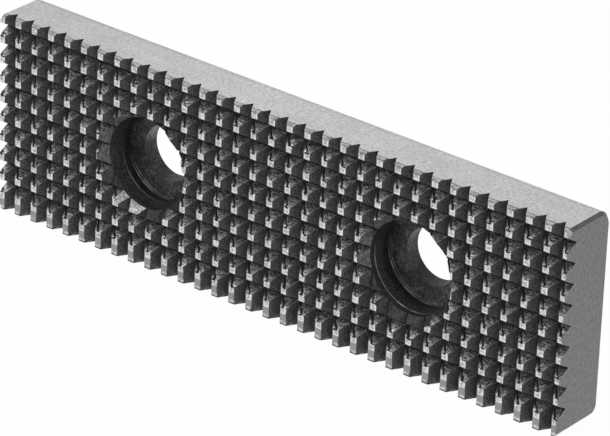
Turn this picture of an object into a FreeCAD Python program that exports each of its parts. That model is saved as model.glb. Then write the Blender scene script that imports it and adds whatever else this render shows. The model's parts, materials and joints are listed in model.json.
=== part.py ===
# Screw-on clamping jaw: one hardened steel plate with crossed V serrations on its gripping
# side and two counterbored screw holes. The plate stands on its lower long edge: +X runs
# along it, +Z is up, the teeth look towards -Y and the back seats against the plane Y = 0.
# The origin is the middle of the two screw holes on that back face.

import FreeCAD, Part
import os
import Sketcher

os.makedirs("parts", exist_ok=True)
doc = FreeCAD.newDocument("ClampingJaw")

# Driving dimensions, in millimetres and degrees
dimensions = (
    ("plate_length", 130, "end to end along X"),
    ("plate_height", 40, "lower edge to upper edge"),
    ("plate_thickness", 12, "back face to the tips of the teeth"),
    ("upper_back_radius", 3, "rounding of the upper long edge at the back"),
    ("lower_back_radius", 2, "rounding of the lower long edge at the back"),
    ("upper_front_chamfer", 0.45, "bevel above the top row of teeth"),
    ("end_chamfer", 0.6, "bevel round each end face"),
    ("tooth_pitch", 4.03, "tooth to tooth, the same both ways"),
    ("tooth_land", 1.44, "side of a tooth's square flat tip"),
    ("groove_angle", 60, "included angle of the V grooves"),
    ("lowest_groove_height", 4.85, "root of the lowest level groove above the lower edge"),
    ("hole_height", 20, "screw holes above the lower edge"),
    ("hole_spacing", 61, "screw hole to screw hole"),
    ("screw_hole_diameter", 11, "clearance hole for an M10 screw"),
    ("head_bore_diameter", 18, "counterbore for the screw's head"),
    ("head_bore_depth", 8, "tips of the teeth to the seat under the head"),
    ("mouth_bevel_width", 1.4, "how much wider the counterbore's mouth is, all round"),
    ("mouth_bevel_depth", 2, "tips of the teeth to the foot of that bevel"),
    ("back_chamfer", 0.8, "bevel where the screw hole meets the back face"),
    ("cutter_overrun", 1, "how far the V cutter reaches past the tips of the teeth"),
)
sheet = doc.addObject("Spreadsheet::Sheet", "Dimensions")
for row, (alias, value, meaning) in enumerate(dimensions, start=1):
    sheet.set(f"A{row}", meaning)
    sheet.set(f"B{row}", str(value))
    sheet.setAlias(f"B{row}", alias)
doc.recompute()

# Sizes that follow from the driving dimensions
LENGTH = "Dimensions.plate_length"
THICKNESS = "Dimensions.plate_thickness"
LOWER = "(-Dimensions.hole_height)"
UPPER = "(Dimensions.plate_height - Dimensions.hole_height)"
PITCH = "Dimensions.tooth_pitch"
HALF_SLOPE = "tan(Dimensions.groove_angle / 2)"
GROOVE_DEPTH = f"(({PITCH} - Dimensions.tooth_land) / 2 / {HALF_SLOPE})"
CUTTER_DEPTH = f"({GROOVE_DEPTH} + Dimensions.cutter_overrun)"
UPRIGHT_COUNT = f"floor({LENGTH} / {PITCH})"
LEVEL_COUNT = f"(floor((Dimensions.plate_height - Dimensions.lowest_groove_height) / {PITCH} - 0.5) + 1)"


def size(expression):
    """The number that an expression on the sheet comes to."""
    return float(sheet.evalExpression(expression.replace("Dimensions.", "")))


def origin_feature(body, role):
    return next(item for item in body.Origin.OriginFeatures if item.Role == role)


def new_sketch(body, name, plane):
    sketch = body.newObject("Sketcher::SketchObject", name)
    sketch.AttachmentSupport = [(origin_feature(body, plane), "")]
    sketch.MapMode = "FlatFace"
    return sketch


def closed_profile(sketch, corners):
    """A closed outline whose corners are (first axis, second axis) expressions."""
    points = [FreeCAD.Vector(size(across), size(up), 0) for across, up in corners]
    count = len(points)
    for index in range(count):
        sketch.addGeometry(Part.LineSegment(points[index], points[(index + 1) % count]))
    for index in range(count):
        following = (index + 1) % count
        sketch.addConstraint(Sketcher.Constraint("Coincident", index, 2, following, 1))
    for index, (across, up) in enumerate(corners):
        bind(sketch, "DistanceX", index, across, f"corner_{index}_across")
        bind(sketch, "DistanceY", index, up, f"corner_{index}_up")


def bind(sketch, kind, line, expression, name):
    """Ties the start of a line to the sketch's origin by a named size."""
    number = sketch.addConstraint(Sketcher.Constraint(kind, -1, 1, line, 1, size(expression)))
    sketch.renameConstraint(number, name)
    sketch.setExpression(f"Constraints.{name}", expression)


def edges_where(feature, fits):
    """Names of the feature's edges whose two end points both fit."""
    return [
        f"Edge{number}"
        for number, edge in enumerate(feature.Shape.Edges, start=1)
        if all(fits(vertex.Point) for vertex in edge.Vertexes)
    ]


def near(first, second):
    return abs(first - second) < 1e-6


def cuts_away(feature, before):
    """Stops if a cut left the solid as it was."""
    doc.recompute()
    if feature.Shape.isNull() or feature.Shape.Volume > before - 1e-3:
        raise RuntimeError(f"{feature.Name} cuts nothing")
    return feature.Shape.Volume


def make_blank(body):
    """The plate before its teeth: a bar with two rounded back edges and bevelled ends."""
    section = new_sketch(body, "BlankSection", "YZ_Plane")
    closed_profile(section, (
        (f"-{THICKNESS}", LOWER),
        ("0", LOWER),
        ("0", UPPER),
        (f"-{THICKNESS}", UPPER),
    ))
    blank = body.newObject("PartDesign::Pad", "Blank")
    blank.Profile = (section, [""])
    blank.SideType = "Symmetric"
    blank.setExpression("Length", LENGTH)
    doc.recompute()

    thickness = size(THICKNESS)
    upper = size(UPPER)
    lower = size(LOWER)
    half_length = size(LENGTH) / 2
    rounding = blank
    for name, height, radius in (
        ("UpperBackEdge", upper, "Dimensions.upper_back_radius"),
        ("LowerBackEdge", lower, "Dimensions.lower_back_radius"),
    ):
        long_edge = edges_where(rounding, lambda p: near(p.y, 0) and near(p.z, height))
        earlier = rounding
        rounding = body.newObject("PartDesign::Fillet", name)
        rounding.Base = (earlier, long_edge)
        rounding.setExpression("Radius", radius)
        doc.recompute()

    bevel = body.newObject("PartDesign::Chamfer", "UpperFrontEdge")
    bevel.Base = (rounding, edges_where(rounding, lambda p: near(p.y, -thickness) and near(p.z, upper)))
    bevel.setExpression("Size", "Dimensions.upper_front_chamfer")
    doc.recompute()

    # Every edge of the two end faces, apart from the one that the teeth run out over
    ends = body.newObject("PartDesign::Chamfer", "EndEdges")
    end_edges = []
    for end in (-half_length, half_length):
        at_teeth = edges_where(bevel, lambda p: near(p.x, end) and near(p.y, -thickness))
        end_edges += [name for name in edges_where(bevel, lambda p: near(p.x, end)) if name not in at_teeth]
    ends.Base = (bevel, end_edges)
    ends.setExpression("Size", "Dimensions.end_chamfer")
    doc.recompute()
    return ends


def cut_screw_holes(body, volume):
    """Two stepped holes: head bore, seat, clearance hole, with a bevel at both mouths."""
    axis = "(Dimensions.hole_spacing / 2)"
    head = f"({axis} + Dimensions.head_bore_diameter / 2)"
    shank = f"({axis} + Dimensions.screw_hole_diameter / 2)"
    seat = f"(Dimensions.head_bore_depth - {THICKNESS})"
    section = new_sketch(body, "HoleHalfSection", "XY_Plane")
    closed_profile(section, (
        (axis, f"-{THICKNESS}"),
        (f"{head} + Dimensions.mouth_bevel_width", f"-{THICKNESS}"),
        (head, f"Dimensions.mouth_bevel_depth - {THICKNESS}"),
        (head, seat),
        (shank, seat),
        (shank, "-Dimensions.back_chamfer"),
        (f"{shank} + Dimensions.back_chamfer", "0"),
        (axis, "0"),
    ))
    hole = body.newObject("PartDesign::Groove", "ScrewHole")
    hole.Profile = (section, [""])
    hole.ReferenceAxis = (section, ["Edge8"])
    hole.Angle = 360
    volume = cuts_away(hole, volume)
    pair = body.newObject("PartDesign::Mirrored", "ScrewHolePair")
    pair.Originals = [hole]
    pair.MirrorPlane = (origin_feature(body, "YZ_Plane"), [""])
    body.Tip = pair
    return cuts_away(pair, volume)


def cut_upright_grooves(body, volume):
    """V grooves from the lower edge to the upper edge, centred on the plate's length."""
    centre = f"(-({UPRIGHT_COUNT} - 1) / 2 * {PITCH})"
    root = f"({GROOVE_DEPTH} - {THICKNESS})"
    mouth = f"(-{THICKNESS} - Dimensions.cutter_overrun)"
    half_mouth = f"{CUTTER_DEPTH} * {HALF_SLOPE}"
    section = new_sketch(body, "UprightGrooveSection", "XY_Plane")
    closed_profile(section, (
        (centre, root),
        (f"{centre} - {half_mouth}", mouth),
        (f"{centre} + {half_mouth}", mouth),
    ))
    groove = body.newObject("PartDesign::Pocket", "UprightGroove")
    groove.Profile = (section, [""])
    groove.Type = "ThroughAll"
    groove.SideType = "Symmetric"
    volume = cuts_away(groove, volume)
    row = body.newObject("PartDesign::LinearPattern", "UprightGrooves")
    row.Originals = [groove]
    row.Direction = (origin_feature(body, "X_Axis"), [""])
    row.Mode = "Spacing"
    row.setExpression("Offset", PITCH)
    row.setExpression("Occurrences", UPRIGHT_COUNT)
    body.Tip = row
    return cuts_away(row, volume)


def cut_level_grooves(body, volume):
    """The same V grooves from end to end, counted up from the lowest one."""
    centre = f"({LOWER} + Dimensions.lowest_groove_height)"
    root = f"({GROOVE_DEPTH} - {THICKNESS})"
    mouth = f"(-{THICKNESS} - Dimensions.cutter_overrun)"
    half_mouth = f"{CUTTER_DEPTH} * {HALF_SLOPE}"
    section = new_sketch(body, "LevelGrooveSection", "YZ_Plane")
    closed_profile(section, (
        (root, centre),
        (mouth, f"{centre} + {half_mouth}"),
        (mouth, f"{centre} - {half_mouth}"),
    ))
    groove = body.newObject("PartDesign::Pocket", "LevelGroove")
    groove.Profile = (section, [""])
    groove.Type = "ThroughAll"
    groove.SideType = "Symmetric"
    volume = cuts_away(groove, volume)
    rows = body.newObject("PartDesign::LinearPattern", "LevelGrooves")
    rows.Originals = [groove]
    rows.Direction = (origin_feature(body, "Z_Axis"), [""])
    rows.Mode = "Spacing"
    rows.setExpression("Offset", PITCH)
    rows.setExpression("Occurrences", LEVEL_COUNT)
    body.Tip = rows
    return cuts_away(rows, volume)


jaw = doc.addObject("PartDesign::Body", "JawPlate")
jaw.Label = "jaw_plate"
jaw.Placement = FreeCAD.Placement()
blank = make_blank(jaw)
remaining = cut_screw_holes(jaw, blank.Shape.Volume)
remaining = cut_upright_grooves(jaw, remaining)
remaining = cut_level_grooves(jaw, remaining)

for item in doc.Objects:
    if "Invalid" in item.State or "Error" in item.State:
        raise RuntimeError(f"{item.Name} did not rebuild: {item.State}")
if jaw.Shape.isNull() or not jaw.Shape.isValid():
    raise RuntimeError("The jaw plate has no valid shape")
jaw.Shape.exportStep(f"parts/{jaw.Label}.step")
print(f"{jaw.Label}: {jaw.Shape.Volume:.1f} cubic mm, {len(jaw.Shape.Faces)} faces")
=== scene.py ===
import json
import math
import random

import bmesh
import bpy
from mathutils import Matrix, Vector


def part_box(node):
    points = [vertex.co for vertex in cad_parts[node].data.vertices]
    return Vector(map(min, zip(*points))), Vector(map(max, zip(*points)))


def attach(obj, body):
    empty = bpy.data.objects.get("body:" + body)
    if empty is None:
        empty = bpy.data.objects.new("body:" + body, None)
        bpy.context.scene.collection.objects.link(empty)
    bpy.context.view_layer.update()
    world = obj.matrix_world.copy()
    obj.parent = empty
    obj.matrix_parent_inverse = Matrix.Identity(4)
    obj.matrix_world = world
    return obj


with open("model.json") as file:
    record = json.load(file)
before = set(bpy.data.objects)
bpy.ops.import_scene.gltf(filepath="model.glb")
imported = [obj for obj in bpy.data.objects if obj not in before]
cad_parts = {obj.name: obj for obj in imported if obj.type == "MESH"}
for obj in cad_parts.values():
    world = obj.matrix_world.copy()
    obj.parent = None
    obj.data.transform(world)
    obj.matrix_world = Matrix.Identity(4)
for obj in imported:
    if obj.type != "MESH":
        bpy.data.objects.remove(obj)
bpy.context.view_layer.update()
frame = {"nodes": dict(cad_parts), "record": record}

print("frame loaded:", ", ".join(frame["nodes"]))

# The jaw's own layout, in metres: +X along the plate, -Y out of the teeth, +Z up
plateLow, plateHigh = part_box("jaw_plate")
screwHoles = next(m for m in frame["record"]["mounts"] if m["name"] == "screw_holes")["dims"]
jaw = {
    "toothPitch": 0.00403,
    "toothTip": 0.00144,         # side of a tooth's flat tip
    "grooveAngle": math.radians(60),
    "lowestGroove": 0.00485,     # root of the lowest level groove above the lower edge
    "upperBevel": 0.00045,
    "mouthBevel": (0.0014, 0.002),    # how much wider than the bore, and how deep from the tips
    "headBoreRadius": 0.009,
    "headBoreDepth": 0.008,
    "screwHoleRadius": screwHoles["hole_r_mm"] / 1000,
    "holeOffset": screwHoles["spacing_x_mm"] / 2000,
}
lowestGrooveZ = plateLow.z + jaw["lowestGroove"]
halfTip = jaw["toothTip"] / jaw["toothPitch"] / 2        # in pitches
flankSlope = math.tan(jaw["grooveAngle"] / 2)
grooveDepth = (0.5 - halfTip) / flankSlope               # in pitches


# Camera at the photograph's angle
camera = {
    "place": (0.437947, -0.559973, 0.353184),
    "right": (0.77598, 0.62987, 0.03336),
    "down": (0.30646, -0.33027, -0.89275),
    "lens": 259.90,
    "sensor": 36.0,
}


def makeCamera():
    data = bpy.data.cameras.new("photo_camera")
    data.sensor_width = camera["sensor"]
    data.lens = camera["lens"]
    data.clip_start = 0.05
    data.clip_end = 20
    holder = bpy.data.objects.new("photo_camera", data)
    bpy.context.scene.collection.objects.link(holder)
    right = Vector(camera["right"])
    up = -Vector(camera["down"])
    turn = Matrix((right, up, right.cross(up))).transposed()
    holder.matrix_world = Matrix.Translation(camera["place"]) @ turn.to_4x4()
    bpy.context.scene.camera = holder


makeCamera()
print("camera placed")


# Node helpers
def put(tree, kind, inputs=None, **settings):
    node = tree.nodes.new(kind)
    for name, value in settings.items():
        setattr(node, name, value)
    for name, value in (inputs or {}).items():
        join(tree, value, node.inputs[name])
    return node


def join(tree, value, socket):
    if isinstance(value, bpy.types.NodeSocket):
        tree.links.new(value, socket)
    else:
        socket.default_value = value


def calc(tree, operation, *values, clamp=False):
    node = put(tree, "ShaderNodeMath", operation=operation, use_clamp=clamp)
    for index, value in enumerate(values):
        join(tree, value, node.inputs[index])
    return node.outputs[0]


def ramp(tree, value, start, end, low=0.0, high=1.0):
    node = put(tree, "ShaderNodeMapRange", clamp=True, interpolation_type="SMOOTHSTEP")
    for index, item in enumerate((value, start, end, low, high)):
        join(tree, item, node.inputs[index])
    return node.outputs[0]


def fade(tree, share, first, second):
    node = put(tree, "ShaderNodeMix", data_type="FLOAT")
    join(tree, share, node.inputs[0])
    join(tree, first, node.inputs[2])
    join(tree, second, node.inputs[3])
    return node.outputs[0]


def noiseOf(tree, place, scale, detail=3.0, roughness=0.55):
    node = put(tree, "ShaderNodeTexNoise", {"Scale": scale, "Detail": detail, "Roughness": roughness})
    join(tree, place, node.inputs["Vector"])
    return node.outputs["Fac"]


def stretched(tree, place, factors):
    node = put(tree, "ShaderNodeVectorMath", operation="MULTIPLY")
    join(tree, place, node.inputs[0])
    node.inputs[1].default_value = factors
    return node.outputs[0]


def newGroup(name, inputs, outputs):
    group = bpy.data.node_groups.new(name, "ShaderNodeTree")
    for kind, label in inputs:
        group.interface.new_socket(label, in_out="INPUT", socket_type=kind)
    for kind, label in outputs:
        group.interface.new_socket(label, in_out="OUTPUT", socket_type=kind)
    return group, group.nodes.new("NodeGroupInput"), group.nodes.new("NodeGroupOutput")


def useGroup(tree, group, **inputs):
    node = put(tree, "ShaderNodeGroup", node_tree=group)
    for name, value in inputs.items():
        join(tree, value, node.inputs[name])
    return node


# The kinds of socket that the groups have
number, vector = "NodeSocketFloat", "NodeSocketVector"


# Where a point lies on its own tooth: offsets and depth in pitches, and three numbers drawn for each tooth
def toothGridGroup():
    tree, given, made = newGroup(
        "tooth_grid",
        [(vector, "Place")],
        [(number, "Across"), (number, "Up"), (number, "Depth"), (vector, "Drawn")],
    )
    parts = put(tree, "ShaderNodeSeparateXYZ", {"Vector": given.outputs["Place"]}).outputs
    column = calc(tree, "MULTIPLY", parts[0], 1 / jaw["toothPitch"])
    raised = calc(tree, "SUBTRACT", parts[2], lowestGrooveZ)
    level = calc(tree, "SUBTRACT", calc(tree, "MULTIPLY", raised, 1 / jaw["toothPitch"]), 0.5)
    columnNumber = calc(tree, "ROUND", column)
    levelNumber = calc(tree, "ROUND", level)
    sunk = calc(tree, "SUBTRACT", parts[1], plateLow.y)
    cell = put(tree, "ShaderNodeCombineXYZ")
    join(tree, columnNumber, cell.inputs[0])
    join(tree, levelNumber, cell.inputs[1])
    drawn = put(tree, "ShaderNodeTexWhiteNoise", {"Vector": cell.outputs[0]}, noise_dimensions="3D")
    tree.links.new(calc(tree, "SUBTRACT", column, columnNumber), made.inputs["Across"])
    tree.links.new(calc(tree, "SUBTRACT", level, levelNumber), made.inputs["Up"])
    tree.links.new(calc(tree, "MULTIPLY", sunk, 1 / jaw["toothPitch"]), made.inputs["Depth"])
    tree.links.new(drawn.outputs["Color"], made.inputs["Drawn"])
    return tree


# Fine parallel lines left by a grinding wheel or a cutter, about 0 to 1
def toolLinesGroup():
    tree, given, made = newGroup(
        "tool_lines",
        [(vector, "Place"), (number, "Scale"), (number, "Mottle")],
        [(number, "Lines")],
    )
    fine = noiseOf(tree, given.outputs["Place"], given.outputs["Scale"], 4.0, 0.65)
    broadScale = calc(tree, "MULTIPLY", given.outputs["Scale"], 0.13)
    broad = noiseOf(tree, given.outputs["Place"], broadScale, 2.0, 0.5)
    tree.links.new(fade(tree, given.outputs["Mottle"], fine, broad), made.inputs["Lines"])
    return tree


toothGrid = toothGridGroup()
toolLines = toolLinesGroup()
print("shared effects built")


# The jaw's steel: linear greys, then how metallic and how rough each surface is. Grain: the darkest and
# lightest share of the grey, and how softly one goes over into the other. Heights are shares of the bump.
steel = {
    "tip": {"grey": 0.53, "metallic": 1.0, "roughness": 0.40, "grain": (0.6, 1.3, 0.15)},
    "tipRimHighlight": {"grey": 0.78, "metallic": 1.0, "roughness": 0.40, "height": 0.2},
    "roundedEdgeShade": {"grey": 0.30, "metallic": 1.0, "roughness": 0.45, "height": -0.3},
    "ground": {"grey": 0.63, "metallic": 1.0, "roughness": 0.40, "grain": (0.72, 1.26, 0.2)},
    "scratch": {"grey": 0.86, "metallic": 1.0, "roughness": 0.34, "height": -0.6},
    # End faces and their bevel: the same ground steel as the other faces, painted darker as shade
    "end": {"grey": 0.222, "metallic": 1.0, "roughness": 0.48, "grain": (0.75, 1.25, 0.2)},
    "endBevel": {"grey": 0.18, "metallic": 1.0, "roughness": 0.45, "grain": (0.7, 1.35, 0.25)},
    "upperBevel": {"grey": 0.25, "metallic": 1.0, "roughness": 0.5, "grain": (0.5, 1.5, 0.15)},
    # Upper flanks: their own scratched finish, and painted lighter than the side flanks as the light from
    # above
    "upFlank": {"grey": 0.194, "metallic": 0.6, "roughness": 0.5, "grain": (0.25, 2.1, 0.13)},
    "sideFlank": {"grey": 0.075, "metallic": 0.3, "roughness": 0.5, "grain": (0.7, 1.3, 0.25)},
    "downFlank": {"grey": 0.05, "metallic": 0.3, "roughness": 0.5, "grain": (0.6, 1.5, 0.15)},
    # Groove roots: painted shade
    "root": {"grey": 0.006, "metallic": 0.2, "roughness": 0.7},
    # The burr's shadow, painted black
    "burrShadow": {"grey": 0.004, "metallic": 0.1, "roughness": 0.8, "height": -1.0},
    "burrFoot": {"grey": 0.26, "metallic": 0.8, "roughness": 0.5, "height": 0.6},
    # Light grey of the arrises: painted highlight
    "arrisHighlight": {"grey": 0.34, "metallic": 1.0, "roughness": 0.45},
    "roughStrip": 0.001,         # how far the rough band reaches back from the tips
    "mouth": {"grey": 0.12, "metallic": 0.6, "roughness": 0.5, "grain": (0.4, 1.8, 0.2)},
    "highlightedTeeth": {"rightEdge": -0.0302, "middle": -0.0091, "halfHeight": 0.0021, "brighter": 3.9},
    "headBore": {"grey": 0.046, "metallic": 0.3, "roughness": 0.45, "grain": (0.35, 1.6, 0.18)},
    "seat": {"grey": 0.052, "metallic": 0.3, "roughness": 0.5, "grain": (0.6, 1.4, 0.25)},
    "screwHole": {"grey": 0.052, "metallic": 0.4, "roughness": 0.5},
    "stepHighlight": {"grey": 0.85, "metallic": 1.0, "roughness": 0.4},
    # Steps in the bores: depth from the tips in the left and right hole, then how bright in each
    "steps": ((0.0055, 0.0033, 0.5, 1.0), (0.0073, 0.0073, 1.0, 1.0), (0.00785, 0.00785, 1.0, 0.8)),
    "stepHeight": 13.0,
    "bumpDistance": 0.00002,
    "tint": (1.012, 1.0, 0.992),
}


# Which way a surface looks, as the two shares of its normal between which a mask rises from 0 to 1
facings = {
    "front": (-0.90, -0.97),
    "groove": (-0.4, -0.45),
    "flank": (0.78, 0.84),
    "lowerFlank": (-0.78, -0.84),
    "end": (0.9, 0.97),
    "bevelFrom": (0.6, 0.68),
    "bevelUpTo": (0.8, 0.74),
}


def readSurface(tree):
    coordinates = put(tree, "ShaderNodeTexCoord").outputs
    position = put(tree, "ShaderNodeSeparateXYZ", {"Vector": coordinates["Object"]}).outputs
    facing = put(tree, "ShaderNodeSeparateXYZ", {"Vector": coordinates["Normal"]}).outputs
    grid = useGroup(tree, toothGrid, Place=coordinates["Object"]).outputs
    drawn = put(tree, "ShaderNodeSeparateXYZ", {"Vector": grid["Drawn"]}).outputs
    fromHole = calc(tree, "SUBTRACT", calc(tree, "ABSOLUTE", position[0]), jaw["holeOffset"])
    side = calc(tree, "SIGN", position[0])
    squares = [calc(tree, "MULTIPLY", length, length) for length in (fromHole, position[2])]
    return {
        "place": coordinates["Object"],
        "x": position[0], "y": position[1], "z": position[2],
        "outward": calc(tree, "ABSOLUTE", facing[0]), "facingY": facing[1], "facingZ": facing[2],
        "across": grid["Across"], "up": grid["Up"], "depth": grid["Depth"],
        "drawnA": drawn[0], "drawnB": drawn[1], "drawnC": drawn[2],
        "fromHole": fromHole,
        "fromHoleX": calc(tree, "MULTIPLY", fromHole, side),
        "radius": calc(tree, "SQRT", calc(tree, "ADD", *squares)),
    }


def both(tree, *masks):
    joined = masks[0]
    for mask in masks[1:]:
        joined = calc(tree, "MULTIPLY", joined, mask)
    return joined


def cover(tree, mask, layer, base, **changed):
    layer = {"height": 0.0, **layer, **changed}
    return {channel: fade(tree, mask, base[channel], layer[channel]) for channel in base}


def shade(tree, layer, value):
    low, high, soft = layer["grain"]
    return calc(tree, "MULTIPLY", layer["grey"], ramp(tree, value, 0.5 - soft, 0.5 + soft, low, high))


def groundFaces(tree, at):
    # Ground faces: fine grain drawn out along the plate, a little darker towards the left
    lines = useGroup(tree, toolLines, Place=stretched(tree, at["place"], (0.35, 1, 1)), Scale=3400.0,
                     Mottle=0.12).outputs[0]
    drift = ramp(tree, at["x"], plateLow.x, 0.0, 0.937, 1.085)
    patches = ramp(tree, noiseOf(tree, at["place"], 90.0, 3.0, 0.6), 0.3, 0.7, 0.97, 1.03)
    look = {
        "grey": both(tree, shade(tree, steel["ground"], lines), drift, patches),
        "metallic": steel["ground"]["metallic"],
        "roughness": steel["ground"]["roughness"],
        "height": calc(tree, "MULTIPLY", lines, 0.5),
    }
    scratches = noiseOf(tree, stretched(tree, at["place"], (0.03, 1, 1)), 1700.0, 2.0, 0.5)
    look = cover(tree, ramp(tree, scratches, 0.66, 0.72, 0.0, 0.5), steel["scratch"], look)

    # End faces and the bevel round them, painted darker than the other ground faces as shade; the bevel is
    # darkest along its foot
    grain = noiseOf(tree, stretched(tree, at["place"], (1, 1, 0.5)), 2400.0, 4.0, 0.7)
    end = ramp(tree, at["outward"], *facings["end"])
    look = cover(tree, end, steel["end"], look, grey=shade(tree, steel["end"], grain))
    # Painted highlight: a light line along the tooth edges on the end faces
    groove = calc(tree, "SUBTRACT", calc(tree, "MULTIPLY_ADD", at["depth"], flankSlope, halfTip), at["up"])
    endArrisHighlight = both(tree, end, ramp(tree, groove, 0.06, 0.03), ramp(tree, at["up"], 0.1, 0.2),
                  ramp(tree, grain, 0.35, 0.6, 0.2, 1.0))
    look = cover(tree, endArrisHighlight, steel["arrisHighlight"], look)
    bevel = both(tree, ramp(tree, at["outward"], *facings["bevelFrom"]),
                 ramp(tree, at["outward"], *facings["bevelUpTo"]),
                 ramp(tree, at["facingY"], -0.2, -0.1))
    look = cover(tree, bevel, steel["endBevel"], look, grey=shade(tree, steel["endBevel"], grain))

    # The rough band above the top teeth: the small bevel and the strip of top face behind it
    blotches = noiseOf(tree, stretched(tree, at["place"], (0.8, 1, 1)), 2400.0, 4.0, 0.75)
    waver = ramp(tree, noiseOf(tree, at["place"], 500.0, 2.0), 0.3, 0.7, -0.00012, 0.00012)
    fromFront = calc(tree, "ADD", calc(tree, "SUBTRACT", at["y"], plateLow.y), waver)
    strip = both(tree, ramp(tree, at["facingZ"], *facings["bevelFrom"]),
                 ramp(tree, at["z"], plateHigh.z - 0.0007, plateHigh.z - 0.0005),
                 ramp(tree, fromFront, steel["roughStrip"], steel["roughStrip"] - 0.00015))
    middle = ramp(tree, calc(tree, "ABSOLUTE", calc(tree, "SUBTRACT", fromFront, jaw["upperBevel"])),
                  0.00035, 0.0, 1.0, 1.6)
    look = cover(tree, strip, steel["upperBevel"], look,
                 grey=both(tree, shade(tree, steel["upperBevel"], blotches), middle))
    # Painted highlight: lighter blotches along the front half of the round above the top teeth
    frontEdgeHighlight = both(tree, strip, ramp(tree, at["facingZ"], *facings["bevelUpTo"]),
                ramp(tree, blotches, 0.5, 0.7))
    return cover(tree, frontEdgeHighlight, steel["arrisHighlight"], look)


# The line of the burr's painted shadow up each upper flank, in pitches: it leans from the first place across
# to the second
burrShadowLine = {"up": (0.16, 0.48), "across": (-0.02, -0.37), "wave": (-0.03, 0.04), "width": (0.04, 0.064)}


def burrShadowLineAt(up):
    low, high = burrShadowLine["up"]
    start, end = burrShadowLine["across"]
    share = min(max((up - low) / (high - low), 0.0), 1.0)
    return start + (end - start) * share * share * (3 - 2 * share)


def flanks(tree, at, look):
    inGroove = ramp(tree, at["facingY"], *facings["groove"])
    upper = both(tree, inGroove, ramp(tree, at["facingZ"], *facings["flank"]))
    lower = both(tree, inGroove, ramp(tree, at["facingZ"], *facings["lowerFlank"]))
    side = both(tree, inGroove, ramp(tree, at["outward"], *facings["flank"]))
    tornUp = noiseOf(tree, stretched(tree, at["place"], (0.55, 1, 1)), 3200.0, 3.0, 0.7)
    uprightStreaks = useGroup(tree, toolLines, Place=stretched(tree, at["place"], (1, 1, 0.12)), Scale=5200.0,
                              Mottle=0.3).outputs[0]
    # Painted shade: the upper flanks grow darker towards the groove's root
    deeperShade = ramp(tree, at["depth"], 0.0, grooveDepth, 1.35, 0.5)
    # Painted highlight and shade: the ridges of the folds lighter, their creases darker
    folds = noiseOf(tree, stretched(tree, at["place"], (0.5, 1, 1)), 1000.0, 2.0, 0.6)
    ridgeHighlight = ramp(tree, calc(tree, "ABSOLUTE", calc(tree, "SUBTRACT", folds, 0.52)), 0.03, 0.005, 0.9, 2.0)
    creaseShade = ramp(tree, calc(tree, "ABSOLUTE", calc(tree, "SUBTRACT", folds, 0.43)), 0.025, 0.005, 1.0, 0.4)
    upGrey = both(tree, shade(tree, steel["upFlank"], tornUp), deeperShade, ridgeHighlight, creaseShade,
                  ramp(tree, at["drawnB"], 0.0, 1.0, 0.75, 1.3))
    look = cover(tree, upper, steel["upFlank"], look, grey=upGrey, height=calc(tree, "MULTIPLY", tornUp, 0.8))
    scuffs = noiseOf(tree, at["place"], 2600.0, 3.0, 0.75)
    look = cover(tree, side, steel["sideFlank"], look,
                 grey=both(tree, shade(tree, steel["sideFlank"], uprightStreaks),
                           ramp(tree, scuffs, 0.36, 0.66, 0.55, 1.6)))
    look = cover(tree, lower, steel["downFlank"], look, grey=shade(tree, steel["downFlank"], scuffs))
    anyFlank = calc(tree, "MAXIMUM", upper, calc(tree, "MAXIMUM", side, lower))

    # Just inside the diagonal arris the upper flank catches the light, most of all near the tip
    inside = calc(tree, "SUBTRACT", at["up"], calc(tree, "ABSOLUTE", at["across"]))
    fromArris = calc(tree, "ABSOLUTE", calc(tree, "SUBTRACT", inside, 0.035))
    arrisHighlight = both(tree, anyFlank, ramp(tree, fromArris, 0.04, 0.01),
                 ramp(tree, at["depth"], grooveDepth * 0.95, grooveDepth * 0.25))
    worn = noiseOf(tree, at["place"], 1500.0, 2.0)
    look = cover(tree, both(tree, arrisHighlight, ramp(tree, worn, 0.35, 0.6, 0.15, 1.0)), steel["arrisHighlight"], look)

    # Burr foot, painted lighter near the tip as a highlight, and beside it the burr's shadow painted as a
    # black line, up the left side of each upper flank
    wave = ramp(tree, noiseOf(tree, at["place"], 700.0, 1.0, 0.5), 0.3, 0.7, *burrShadowLine["wave"])
    lean = ramp(tree, at["up"], *burrShadowLine["up"], *burrShadowLine["across"])
    beside = calc(tree, "SUBTRACT", at["across"], calc(tree, "ADD", lean, wave))
    foot = both(tree, upper, ramp(tree, beside, 0.0, -0.02))
    footGrey = both(tree, steel["burrFoot"]["grey"], ramp(tree, at["up"], 0.18, 0.3, 2.2, 0.4),
                    ramp(tree, tornUp, 0.35, 0.65, 0.3, 1.6))
    look = cover(tree, foot, steel["burrFoot"], look, grey=footGrey)
    # Painted shadow: the black line beside the burr's lip
    width = ramp(tree, at["drawnB"], 0.0, 1.0, *burrShadowLine["width"])
    fromLine = calc(tree, "SUBTRACT", calc(tree, "ABSOLUTE", beside), width)
    torn = both(tree, upper, ramp(tree, fromLine, 0.008, 0.0),
                ramp(tree, at["drawnC"], 0.0, 0.12, 0.4, 1.0), ramp(tree, at["up"], 0.5, 0.46))
    look = cover(tree, torn, steel["burrShadow"], look)

    # Painted shade: the flanks go almost black towards the groove roots
    root = both(tree, anyFlank, ramp(tree, at["depth"], grooveDepth * 0.82, grooveDepth * 0.98))
    return cover(tree, root, steel["root"], look)


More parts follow.
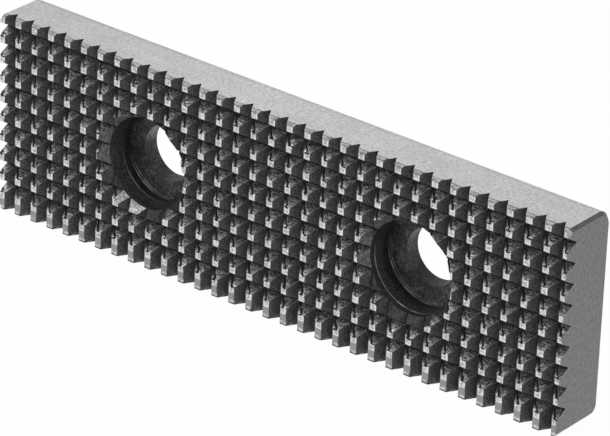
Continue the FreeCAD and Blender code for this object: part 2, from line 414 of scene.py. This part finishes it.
def tips(tree, at, look):
    onTip = both(tree, ramp(tree, at["facingY"], *facings["front"]),
                 ramp(tree, at["y"], plateLow.y + 0.0002, plateLow.y + 0.0001))
    grain = noiseOf(tree, at["place"], 2200.0, 4.0, 0.7)
    look = cover(tree, onTip, steel["tip"], look, grey=shade(tree, steel["tip"], grain))
    farthest = calc(tree, "MAXIMUM", calc(tree, "ABSOLUTE", at["across"]), calc(tree, "ABSOLUTE", at["up"]))
    # Painted highlight: a bright rim round each tip, slightly raised
    rimHighlight = both(tree, onTip, ramp(tree, farthest, halfTip - 0.10, halfTip - 0.07),
               ramp(tree, farthest, halfTip - 0.01, halfTip - 0.035), ramp(tree, grain, 0.35, 0.55, 0.1, 1.0))
    look = cover(tree, rimHighlight, steel["tipRimHighlight"], look)

    # Painted shade: lower and left edges are worn round, so they fall into shade
    leftmost = calc(tree, "SUBTRACT", at["across"], 0.015)
    lowest = ramp(tree, calc(tree, "MINIMUM", leftmost, at["up"]), 0.035 - halfTip, 0.008 - halfTip)
    look = cover(tree, both(tree, onTip, lowest), steel["roundedEdgeShade"], look)
    chip = ramp(tree, noiseOf(tree, at["place"], 900.0, 2.0), 0.35, 0.65, -0.02, 0.02)
    rightmost = calc(tree, "ADD", calc(tree, "SUBTRACT", at["across"], halfTip), chip)
    chipWidth = ramp(tree, at["drawnB"], 0.4, 1.0, 0.0, 0.055)
    chipped = ramp(tree, calc(tree, "ADD", rightmost, chipWidth), 0.0, 0.01)
    look = cover(tree, both(tree, onTip, chipped), steel["sideFlank"], look)
    # The tips' last strip at the end of the plate takes the end face's grey, painted shade included
    nearEnd = ramp(tree, calc(tree, "MULTIPLY_ADD", chip, 0.008, at["x"]),
                   plateHigh.x - 0.0004, plateHigh.x - 0.0003)
    look = cover(tree, both(tree, onTip, nearEnd), steel["end"], look)

    # Notch where the burr was rolled over the tip's upper edge, hooked to the right, painted black as the
    # burr's shadow
    ragged = ramp(tree, noiseOf(tree, at["place"], 1800.0, 2.0), 0.25, 0.75, -0.05, 0.05)
    aside = calc(tree, "ADD", at["across"], ramp(tree, at["drawnA"], 0.0, 1.0, 0.05, -0.04))
    aside = calc(tree, "ABSOLUTE", calc(tree, "ADD", aside, ragged))
    below = calc(tree, "SUBTRACT", halfTip, at["up"])
    reach = both(tree, ramp(tree, at["drawnC"], 0.05, 0.8, 0.03, 0.085), ramp(tree, aside, 0.14, 0.07))
    spot = both(tree, onTip, ramp(tree, calc(tree, "SUBTRACT", below, reach), 0.012, 0.0),
                ramp(tree, calc(tree, "ABSOLUTE", below), 0.2, 0.15))
    return cover(tree, spot, steel["burrShadow"], look)


def screwHoleWalls(tree, at, look):
    seatY = plateLow.y + jaw["headBoreDepth"]
    mouthReach = jaw["headBoreRadius"] + jaw["mouthBevel"][0] + 0.0001
    mouth = both(tree, ramp(tree, at["radius"], mouthReach, mouthReach - 0.0001),
                 ramp(tree, at["facingY"], -0.53, -0.56), ramp(tree, at["facingY"], -0.66, -0.62))
    scratches = noiseOf(tree, stretched(tree, at["place"], (1, 1, 0.5)), 2400.0, 3.0, 0.7)
    # The mouth is darker towards the bottom
    darkerLow = ramp(tree, at["z"], -0.002, -0.006, 1.0, 0.45)
    # Painted highlight: two teeth at the lower left of the left hole are much brighter
    bright = steel["highlightedTeeth"]
    fromMiddle = calc(tree, "ABSOLUTE", calc(tree, "SUBTRACT", at["z"], bright["middle"]))
    highlighted = both(tree, ramp(tree, at["x"], bright["rightEdge"] + 0.0001, bright["rightEdge"]),
                 ramp(tree, fromMiddle, bright["halfHeight"], bright["halfHeight"] - 0.0001))
    look = cover(tree, mouth, steel["mouth"], look,
                 grey=both(tree, shade(tree, steel["mouth"], scratches),
                           fade(tree, highlighted, darkerLow, bright["brighter"])))

    onRight = ramp(tree, at["x"], -0.001, 0.001)
    # Turned rings down the bore; small steps between them catch the light on the lower left, painted as a
    # highlight
    rings = useGroup(tree, toolLines, Place=stretched(tree, at["place"], (0.04, 1, 0.04)), Scale=4200.0,
                     Mottle=0.35).outputs[0]
    bored = both(tree, ramp(tree, calc(tree, "ABSOLUTE", at["facingY"]), 0.2, 0.1),
                 ramp(tree, at["radius"], jaw["headBoreRadius"] + 0.0002, jaw["headBoreRadius"] + 0.0001))
    mottle = noiseOf(tree, at["place"], 2400.0, 4.0, 0.75)
    speckled = ramp(tree, mottle, 0.42, 0.62, 0.4, 1.8)
    # Painted light: the left bore lighter than the right
    look = cover(tree, bored, steel["headBore"], look,
                 grey=both(tree, shade(tree, steel["headBore"], rings), speckled,
                           fade(tree, onRight, 1.15, 0.92)))
    lowerLeft = calc(tree, "ADD", calc(tree, "MULTIPLY", at["fromHoleX"], -0.55),
                     calc(tree, "MULTIPLY", at["z"], -0.85))
    radius = jaw["headBoreRadius"]
    broken = ramp(tree, noiseOf(tree, at["place"], 400.0, 2.0), 0.4, 0.6, 0.4, 1.0)
    sunk = calc(tree, "SUBTRACT", at["y"], plateLow.y)
    lit = ramp(tree, lowerLeft, fade(tree, onRight, 0.62 * radius, 0.1 * radius), 0.95 * radius, 0.08, 1.0)
    for leftDepth, rightDepth, leftShare, rightShare in steel["steps"]:
        depth = calc(tree, "SUBTRACT", sunk, fade(tree, onRight, leftDepth, rightDepth))
        share = fade(tree, onRight, leftShare, rightShare)
        step = ramp(tree, calc(tree, "ABSOLUTE", depth), 0.00016, 0.00011)
        rise = ramp(tree, depth, -0.00016, 0.00016, 0.0, steel["stepHeight"])
        look = cover(tree, both(tree, bored, step, lit, lit, broken, share), steel["stepHighlight"], look,
                     height=rise)

    # Seat and screw hole: rough, scratched and darkened alike
    turned = put(tree, "ShaderNodeCombineXYZ")
    join(tree, at["radius"], turned.inputs[0])
    join(tree, calc(tree, "MULTIPLY", at["fromHole"], 0.05), turned.inputs[1])
    faced = useGroup(tree, toolLines, Place=turned.outputs[0], Scale=4200.0, Mottle=0.3).outputs[0]
    worn = ramp(tree, noiseOf(tree, at["place"], 260.0, 2.0), 0.42, 0.6, 0.75, 1.5)
    seat = both(tree, ramp(tree, at["facingY"], *facings["front"]),
                ramp(tree, at["y"], seatY - 0.0003, seatY - 0.0001))
    look = cover(tree, seat, steel["seat"], look,
                 grey=both(tree, shade(tree, steel["seat"], faced), speckled, worn))
    reach = jaw["screwHoleRadius"] + 0.001
    drilled = both(tree, ramp(tree, at["radius"], reach, reach - 0.0001),
                   ramp(tree, at["y"], seatY + 0.00001, seatY + 0.00003))
    # Painted light: the screw hole's wall lighter towards the top, most in the left hole
    return cover(tree, drilled, steel["screwHole"], look,
                 grey=both(tree, steel["screwHole"]["grey"], speckled, worn,
                           ramp(tree, at["z"], 0.0, 0.004, 0.9, fade(tree, onRight, 5.0, 1.7))))


def finishSteel(tree, look):
    colour = put(tree, "ShaderNodeCombineColor")
    for index, share in enumerate(steel["tint"]):
        join(tree, calc(tree, "MULTIPLY", look["grey"], share), colour.inputs[index])
    bump = put(tree, "ShaderNodeBump",
               {"Strength": 0.6, "Distance": steel["bumpDistance"], "Height": look["height"]})
    shader = put(tree, "ShaderNodeBsdfPrincipled", {
        "Base Color": colour.outputs[0],
        "Metallic": look["metallic"],
        "Roughness": look["roughness"],
        "Normal": bump.outputs[0],
    })
    finished = put(tree, "ShaderNodeOutputMaterial")
    tree.links.new(shader.outputs[0], finished.inputs["Surface"])


def newMaterial(name):
    material = bpy.data.materials.new(name)
    material.use_nodes = True
    material.node_tree.nodes.clear()
    return material


def jawSteel():
    material = newMaterial("jaw_steel_finish")
    tree = material.node_tree
    at = readSurface(tree)
    look = groundFaces(tree, at)
    look = flanks(tree, at, look)
    look = tips(tree, at, look)
    look = screwHoleWalls(tree, at, look)
    finishSteel(tree, look)
    return material


jawFinish = jawSteel()
plate = frame["nodes"]["jaw_plate"]
for place in plate.material_slots:
    place.material = jawFinish
print("jaw steel assigned")


# Burrs: thin lips of metal that the cutter folded over the left side of each tooth's upper flank
burrs = {
    "seed": 7,
    "columns": (-15, 16),
    "levels": (-1, 7),
    "segments": (3, 5),
    "start": 0.05,               # shares of the flank's length, counted from the tip
    "end": (0.4, 0.8),
    "taper": (0.12, 0.98),       # shares of a half circle that the width follows, from the start to the end
    "narrowest": 0.4,
    "curl": 0.72,                # share of a half circle that the lip bends through
    "lift": (0.022, 0.055),      # in pitches, as all down to clearOfHoles
    "besideLine": (-0.07, -0.02),
    "ragged": 0.012,
    "overlap": 0.01,             # how far the lip reaches into the side flank
    "sunk": 0.008,
    "thickness": 0.016,
    "clearOfHoles": 0.35,
    "steel": {"grey": 0.15, "metallic": 0.8, "roughness": 0.5, "grain": (0.5, 1.6, 0.15)},
    # Painted highlight on the lip near the tip
    "lipHighlightAtTip": 3.2,              # how much brighter the lip is where it leaves the tip
    "behindTips": 0.00001,       # in metres
    "sortAlong": Vector((1.0, 7.3, 13.1)),
}


def onUpperFlank(column, level, across, along, lift):
    up = halfTip + along * (0.5 - halfTip)
    tilt = jaw["grooveAngle"] / 2
    x = (column + across) * jaw["toothPitch"]
    y = (along * grooveDepth - lift * math.sin(tilt)) * jaw["toothPitch"]
    z = (level + 0.5 + up + lift * math.cos(tilt)) * jaw["toothPitch"]
    return Vector((x, plateLow.y + max(y, burrs["behindTips"]), lowestGrooveZ + z))


def addBurr(shape, column, level, drawn):
    end = drawn.uniform(*burrs["end"])
    height = drawn.uniform(*burrs["lift"])
    aside = drawn.uniform(*burrs["besideLine"])
    across, along = burrs["segments"]
    narrow, wide = burrs["taper"]
    sheet = bmesh.ops.create_grid(shape, x_segments=across, y_segments=along, size=0.5)["verts"]
    for corner in sheet:
        outward, ahead = corner.co.x + 0.5, corner.co.y + 0.5
        place = burrs["start"] + ahead * (end - burrs["start"])
        flankUp = halfTip + place * (0.5 - halfTip)
        taper = math.sin(math.pi * (narrow + (wide - narrow) * ahead)) ** 0.5
        rooted = burrs["overlap"] - flankUp
        reach = burrShadowLineAt(flankUp) + aside + drawn.uniform(-burrs["ragged"], burrs["ragged"]) - rooted
        free = rooted + reach * (burrs["narrowest"] + (1 - burrs["narrowest"]) * taper)
        bend = math.sin(math.pi * burrs["curl"] * outward)
        lift = height * taper * bend - burrs["sunk"] * (1 - outward)
        corner.co = onUpperFlank(column, level, rooted + outward * (free - rooted), place, lift)


def makeBurrs():
    drawn = random.Random(burrs["seed"])
    shape = bmesh.new()
    holeReach = jaw["headBoreRadius"] + jaw["mouthBevel"][0] + burrs["clearOfHoles"] * jaw["toothPitch"]
    firstColumn, lastColumn = burrs["columns"]
    lowest, highest = burrs["levels"]
    for level in range(lowest, highest + 1):
        for column in range(firstColumn, lastColumn + 1):
            middle = onUpperFlank(column, level, across=0.0, along=0.4, lift=0.0)
            if math.hypot(abs(middle.x) - jaw["holeOffset"], middle.z) > holeReach:
                addBurr(shape, column, level, drawn)
    bmesh.ops.solidify(shape, geom=shape.faces[:], thickness=burrs["thickness"] * jaw["toothPitch"])
    bmesh.ops.recalc_face_normals(shape, faces=shape.faces[:])
    # Solidify leaves the rims in any order, so they are sorted by place to be the same in each run
    shape.verts.sort(key=lambda vertex: vertex.co.dot(burrs["sortAlong"]))
    shape.faces.sort(key=lambda face: face.calc_center_median().dot(burrs["sortAlong"]))
    mesh = bpy.data.meshes.new("tooth_burrs")
    shape.to_mesh(mesh)
    shape.free()
    piece = bpy.data.objects.new("tooth_burrs", mesh)
    bpy.context.scene.collection.objects.link(piece)
    mesh.materials.append(burrSteel())
    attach(piece, "root")
    print("burrs added:", len(mesh.polygons), "faces")


def burrSteel():
    material = newMaterial("burr_steel_finish")
    tree = material.node_tree
    at = readSurface(tree)
    layer = burrs["steel"]
    torn = useGroup(tree, toolLines, Place=stretched(tree, at["place"], (0.6, 1, 1)), Scale=2600.0,
                    Mottle=0.3).outputs[0]
    # Painted highlight: the lip is lighter where it leaves the tip
    lipHighlight = ramp(tree, at["depth"], 0.01, 0.12, burrs["lipHighlightAtTip"], 1.0)
    look = dict(layer, grey=both(tree, shade(tree, layer, torn), lipHighlight),
                height=calc(tree, "MULTIPLY", torn, 0.8))
    finishSteel(tree, look)
    return material


makeBurrs()


# Plain pale floor, white to the camera and to reflections, with the plate's own shadow on it
floorLook = {"reach": 6.0, "grey": 0.95, "whiteShare": 0.97}


def makeFloor():
    mesh = bpy.data.meshes.new("floor")
    shape = bmesh.new()
    bmesh.ops.create_grid(shape, x_segments=1, y_segments=1, size=floorLook["reach"] / 2,
                          matrix=Matrix.Translation((0, 0, plateLow.z)))
    shape.to_mesh(mesh)
    shape.free()
    floor = bpy.data.objects.new("floor", mesh)
    bpy.context.scene.collection.objects.link(floor)
    material = bpy.data.materials.new("pale_floor")
    material.use_nodes = True
    tree = material.node_tree
    tree.nodes.clear()
    rays = put(tree, "ShaderNodeLightPath").outputs
    seen = calc(tree, "MAXIMUM", rays["Is Camera Ray"], calc(tree, "MAXIMUM", rays["Is Glossy Ray"],
                                                             rays["Is Transmission Ray"]))
    grey = floorLook["grey"]
    matt = put(tree, "ShaderNodeBsdfDiffuse", {"Color": (grey, grey, grey, 1)})
    white = put(tree, "ShaderNodeEmission", {"Color": (1, 1, 1, 1), "Strength": 1.0})
    mixed = put(tree, "ShaderNodeMixShader")
    join(tree, calc(tree, "MULTIPLY", seen, floorLook["whiteShare"]), mixed.inputs[0])
    tree.links.new(matt.outputs[0], mixed.inputs[1])
    tree.links.new(white.outputs[0], mixed.inputs[2])
    finished = put(tree, "ShaderNodeOutputMaterial")
    tree.links.new(mixed.outputs[0], finished.inputs["Surface"])
    mesh.materials.append(material)


makeFloor()


# Soft studio light: one large lamp over the left shoulder, one in front, a pale room
lamps = {
    "above": {"place": (-0.9, 0.2, 1.5), "size": 1.4, "power": 14.0},
    "front": {"place": (-0.7, -1.5, 0.6), "size": 1.2, "power": 10.0},
}
room = {"grey": 0.55}


def makeLights():
    for name, lamp in lamps.items():
        data = bpy.data.lights.new(name + "_lamp", "AREA")
        data.shape = "SQUARE"
        data.size = lamp["size"]
        data.energy = lamp["power"]
        holder = bpy.data.objects.new(name + "_lamp", data)
        holder.location = lamp["place"]
        holder.rotation_euler = (-Vector(lamp["place"])).to_track_quat("-Z", "Y").to_euler()
        bpy.context.scene.collection.objects.link(holder)
    world = bpy.data.worlds.new("pale_room")
    world.use_nodes = True
    tree = world.node_tree
    tree.nodes.clear()
    rays = put(tree, "ShaderNodeLightPath").outputs
    grey = room["grey"]
    plain = put(tree, "ShaderNodeBackground", {"Color": (grey, grey, grey, 1), "Strength": 1.0})
    white = put(tree, "ShaderNodeBackground", {"Color": (1, 1, 1, 1), "Strength": 1.0})
    mixed = put(tree, "ShaderNodeMixShader")
    join(tree, rays["Is Camera Ray"], mixed.inputs[0])
    tree.links.new(plain.outputs[0], mixed.inputs[1])
    tree.links.new(white.outputs[0], mixed.inputs[2])
    finished = put(tree, "ShaderNodeOutputWorld")
    tree.links.new(mixed.outputs[0], finished.inputs["Surface"])
    bpy.context.scene.world = world


makeLights()
bpy.context.scene.view_settings.view_transform = "Standard"
print("floor and light set")
